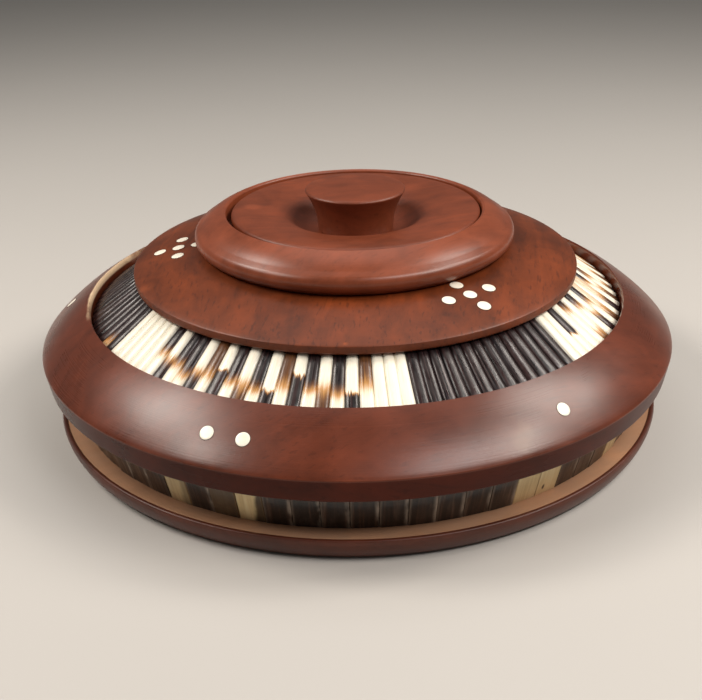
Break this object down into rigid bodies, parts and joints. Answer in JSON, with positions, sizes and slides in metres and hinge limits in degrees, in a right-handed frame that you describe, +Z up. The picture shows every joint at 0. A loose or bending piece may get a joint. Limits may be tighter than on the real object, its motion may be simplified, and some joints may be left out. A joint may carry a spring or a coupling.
{
  "type": "lidded inlaid wooden bowl",
  "caption": "Low round turned wooden bowl with a knobbed lift-off lid, a ring of quills round its shoulder, plates under its rim and inlaid bone dots.",
  "frame": {"origin": "centre of the flat face that the bowl stands on", "axes": "+Z up along the turning axis, -Y towards the front of the bowl, +X to its right"},
  "size_m": [0.28, 0.28, 0.1018],
  "materials": {
    "red_wood": "satin, turned and oiled",
    "inner_wood": "plain turned, lightly oiled",
    "rim_wood": "satin, turned and waxed",
    "shoulder_wood": "satin, turned and waxed",
    "collar_wood": "satin, turned and waxed",
    "lid_wood": "satin, turned and waxed",
    "knob_wood": "satin, turned and waxed",
    "quill_white": "smooth natural quill, cream",
    "quill_dark": "smooth natural quill, near black",
    "quill_mixed": "smooth natural quill, banded brown and cream",
    "horn": "polished dark horn",
    "bone": "polished bone"
  },
  "bodies": {
    "bowl": {"base_plate": "red_wood", "lower_bowl": "inner_wood", "upper_shell": "inner_wood", "rim_ring": "rim_wood", "shoulder_disc": "shoulder_wood", "collar_ring": "collar_wood", "quills_white_front": "quill_white", "quills_dark_right": "quill_dark", "quills_white_right": "quill_white", "quills_mixed_right": "quill_mixed", "quills_mixed_back": "quill_mixed", "quills_dark_left": "quill_dark", "quills_white_left": "quill_white", "quills_mixed_front": "quill_mixed", "plates_horn": "horn", "plates_bone": "bone", "shoulder_dots_right": "bone", "shoulder_dots_left": "bone", "shoulder_dots_back": "bone", "rim_dots": "bone"},
    "lid": {"lid_disc": "lid_wood", "lid_knob": "knob_wood"}
  },
  "joints": [
    {"name": "lid_lift", "type": "slide", "parent": "bowl", "child": "lid", "axis": [0, 0, 1], "range_m": [0, 0.06]}
  ]
}
